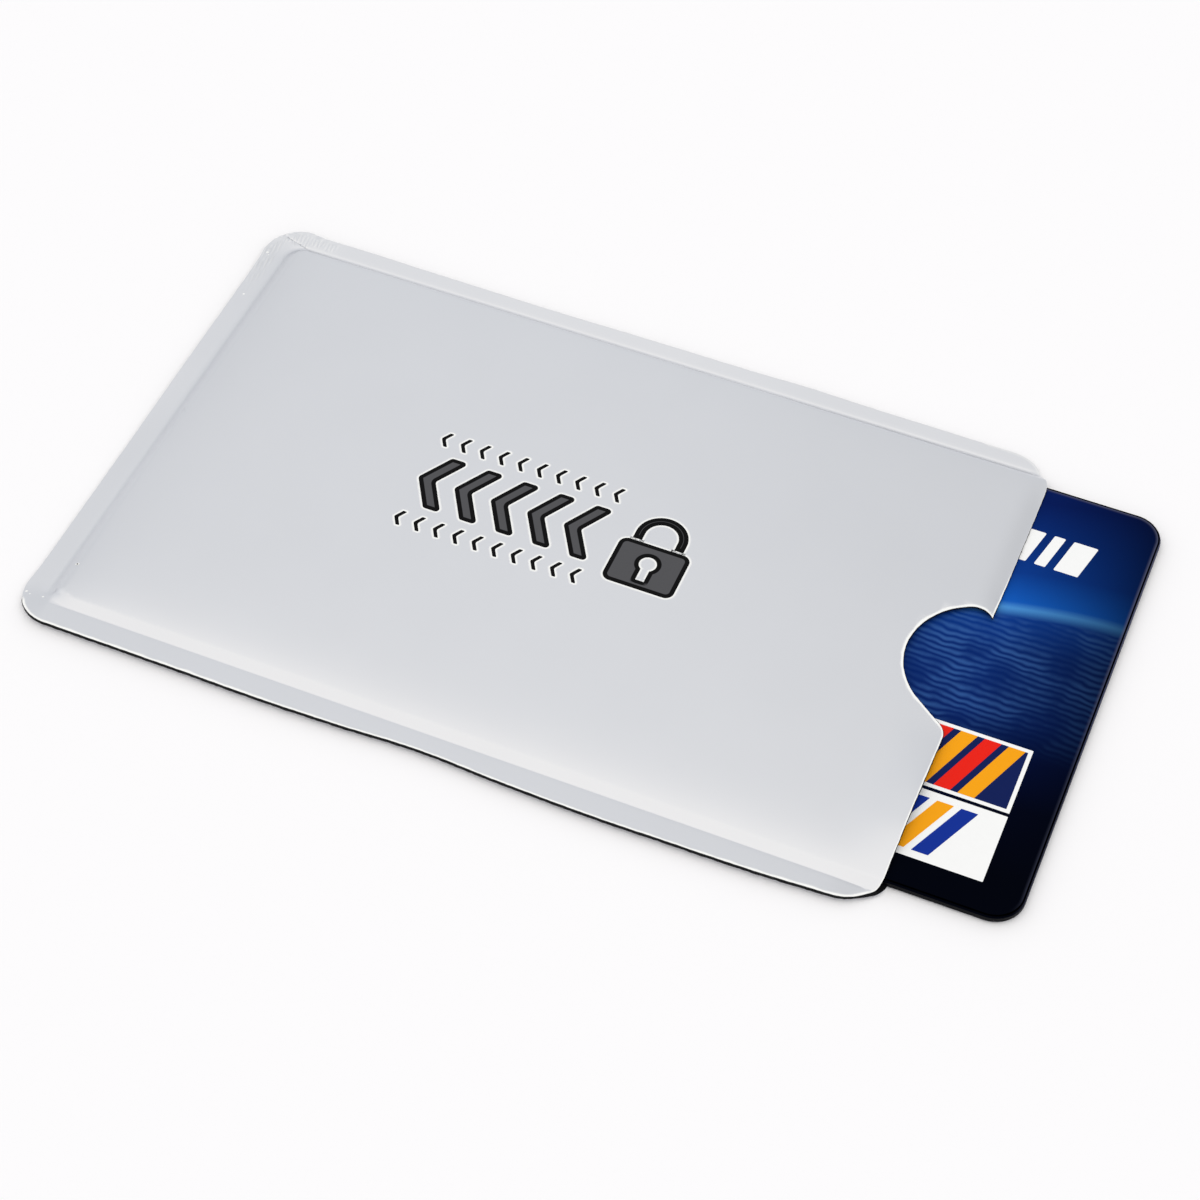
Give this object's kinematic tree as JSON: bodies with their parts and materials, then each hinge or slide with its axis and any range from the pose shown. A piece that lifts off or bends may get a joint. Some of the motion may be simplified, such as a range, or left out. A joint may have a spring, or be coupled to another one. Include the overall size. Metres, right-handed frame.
{
  "type": "rfid card sleeve",
  "caption": "Slim foil pouch, heat-sealed on its closed end and long edges, with a thumb notch at the mouth and a plastic card that slides out.",
  "frame": {"origin": "centre of the sleeve's flat back face", "axes": "+X out of the mouth along the sleeve's length, +Y to the far long edge, +Z out of the printed front"},
  "size_m": [0.1056, 0.0616, 0.0012],
  "materials": {
    "outer_film": "satin silver, matt PET film over aluminium foil",
    "foil": "rolled foil",
    "liner": "carbon-black heat-seal polyethylene",
    "seal": "melted carbon-black heat-seal polyethylene",
    "ink": "dark grey printed ink",
    "card_front": "blue printed PVC under a clear overlay",
    "card_core": "white PVC",
    "antenna": "copper track",
    "card_back": "pale printed PVC under a clear overlay",
    "stripe": "magnetic tape",
    "signature": "matt writing panel",
    "contacts": "gold-plated contacts",
    "chip_tape": "glass-epoxy tape",
    "chip_resin": "black potting resin",
    "die": "silicon"
  },
  "bodies": {
    "sleeve": {"front_film": "outer_film", "front_foil": "foil", "front_liner": "liner", "back_liner": "liner", "back_foil": "foil", "back_film": "outer_film", "end_seal": "seal", "far_seal": "seal", "near_seal": "seal", "front_print": "ink"},
    "card": {"card_front_overlay": "card_front", "card_front_sheet": "card_front", "card_core": "card_core", "card_antenna": "antenna", "card_back_sheet": "card_back", "card_back_overlay": "card_back", "magnetic_stripe": "stripe", "signature_panel": "signature", "chip_contacts": "contacts", "chip_tape": "chip_tape", "chip_resin": "chip_resin", "chip_die": "die"}
  },
  "joints": [
    {"name": "card_slide", "type": "slide", "parent": "sleeve", "child": "card", "axis": [1, 0, 0], "range_m": [-0.016, 0.0725]}
  ]
}
